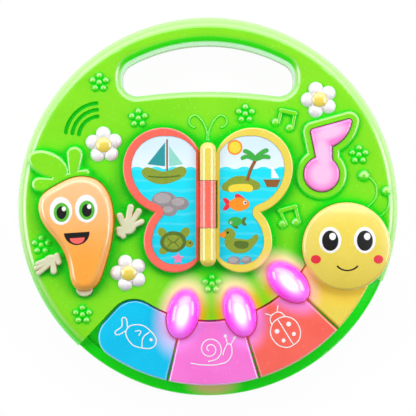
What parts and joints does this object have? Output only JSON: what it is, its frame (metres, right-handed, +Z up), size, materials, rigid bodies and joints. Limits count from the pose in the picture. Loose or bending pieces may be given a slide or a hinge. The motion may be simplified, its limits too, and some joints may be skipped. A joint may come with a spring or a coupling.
{
  "type": "musical activity panel",
  "caption": "Round musical activity panel with a carrying handle, piano keys, a turning butterfly page, lamps and press buttons.",
  "frame": {"origin": "centre of the footprint on the table, under the feet", "axes": "+Z up through the face, +Y towards the carrying handle, +X to the round head"},
  "size_m": [0.26, 0.26, 0.0429],
  "materials": {
    "casing_green": "gloss",
    "shell_pale": "satin",
    "door_pale": "satin",
    "steel": "satin",
    "rubber_pads": "matte",
    "yellow": "gloss",
    "note_pink": "gloss, translucent",
    "orange": "gloss",
    "cream": "satin",
    "coral": "gloss",
    "card": "printed",
    "key_blue": "gloss",
    "key_pink": "gloss",
    "key_coral": "gloss",
    "lens_magenta": "gloss, translucent",
    "led_clear": "clear",
    "petal_white": "satin",
    "board": "satin",
    "chip": "matte",
    "silicone": "matte",
    "speaker_metal": "satin",
    "paper": "matte",
    "cell": "satin",
    "switch_black": "satin"
  },
  "bodies": {
    "casing": {"top_casing": "casing_green", "back_shell": "shell_pale", "battery_door": "door_pale", "door_screw": "steel", "case_screws": "steel", "foot_pads": "rubber_pads", "pivot_rods": "steel", "right_wing_frame": "yellow", "right_wing_card": "card", "left_base_card": "card", "hinge_pin": "steel", "right_hand": "cream", "left_hand": "cream", "key_board": "board", "main_board": "board", "sound_chip": "chip", "carrot_board": "board", "speaker_frame": "speaker_metal", "speaker_cone": "paper", "speaker_magnet": "speaker_metal", "battery_contacts": "steel", "battery_springs": "steel", "switch_body": "switch_black", "head_dome": "silicone", "note_dome": "silicone", "carrot_dome": "silicone", "blue_key_dome": "silicone", "pink_key_dome": "silicone", "coral_key_dome": "silicone", "lamp_lens_left": "lens_magenta", "lamp_led_left": "led_clear", "battery_left": "cell", "lamp_lens_middle": "lens_magenta", "lamp_led_middle": "led_clear", "battery_middle": "cell", "lamp_lens_right": "lens_magenta", "lamp_led_right": "led_clear", "battery_right": "cell", "daisy_petals_upper_left": "petal_white", "daisy_eye_upper_left": "yellow", "daisy_petals_upper_right": "petal_white", "daisy_eye_upper_right": "yellow", "daisy_petals_lower_left": "petal_white", "daisy_eye_lower_left": "yellow"},
    "page": {"left_page_frame": "coral", "left_page_front_card": "card", "left_page_back_card": "card"},
    "blue_key_body": {"blue_key": "key_blue"},
    "pink_key_body": {"pink_key": "key_pink"},
    "coral_key_body": {"coral_key": "key_coral"},
    "head_button_body": {"head_cap": "yellow", "neck_segment": "yellow"},
    "note_button_body": {"note_button": "note_pink"},
    "carrot_button_body": {"carrot_button": "orange", "root_tip": "cream"},
    "power_knob_body": {"power_knob": "switch_black"}
  },
  "joints": [
    {"name": "page_turn", "type": "hinge", "parent": "casing", "child": "page", "pos_m": [0, 0, 0.0374], "axis": [0, 1, 0], "range_deg": [0, 180]},
    {"name": "blue_key_press", "type": "hinge", "parent": "casing", "child": "blue_key_body", "pos_m": [-0.02566, -0.04867, 0.0245], "axis": [0.8846, -0.4664, 0], "range_deg": [0, 2.5], "stiffness_Nm_per_rad": 1.2, "springref_deg": -1.15, "deforming": ["blue_key_dome"]},
    {"name": "pink_key_press", "type": "hinge", "parent": "casing", "child": "pink_key_body", "pos_m": [0.0018, -0.05499, 0.0245], "axis": [0.9995, 0.0327, 0], "range_deg": [0, 2.5], "stiffness_Nm_per_rad": 1.2, "springref_deg": -1.15, "deforming": ["pink_key_dome"]},
    {"name": "coral_key_press", "type": "hinge", "parent": "casing", "child": "coral_key_body", "pos_m": [0.02909, -0.0467, 0.0245], "axis": [0.8487, 0.5288, 0], "range_deg": [0, 2.5], "stiffness_Nm_per_rad": 1.2, "springref_deg": -1.15, "deforming": ["coral_key_dome"]},
    {"name": "head_button_press", "type": "slide", "parent": "casing", "child": "head_button_body", "axis": [0, 0, -1], "range_m": [0, 0.0025], "stiffness_N_per_m": 400, "springref_m": -0.001, "deforming": ["head_dome"]},
    {"name": "note_button_press", "type": "slide", "parent": "casing", "child": "note_button_body", "axis": [0, 0, -1], "range_m": [0, 0.0025], "stiffness_N_per_m": 400, "springref_m": -0.001, "deforming": ["note_dome"]},
    {"name": "carrot_button_press", "type": "slide", "parent": "casing", "child": "carrot_button_body", "axis": [0, 0, -1], "range_m": [0, 0.0025], "stiffness_N_per_m": 400, "springref_m": -0.001, "deforming": ["carrot_dome"]},
    {"name": "power_knob_slide", "type": "slide", "parent": "casing", "child": "power_knob_body", "axis": [1, 0, 0], "range_m": [0, 0.003]}
  ]
}
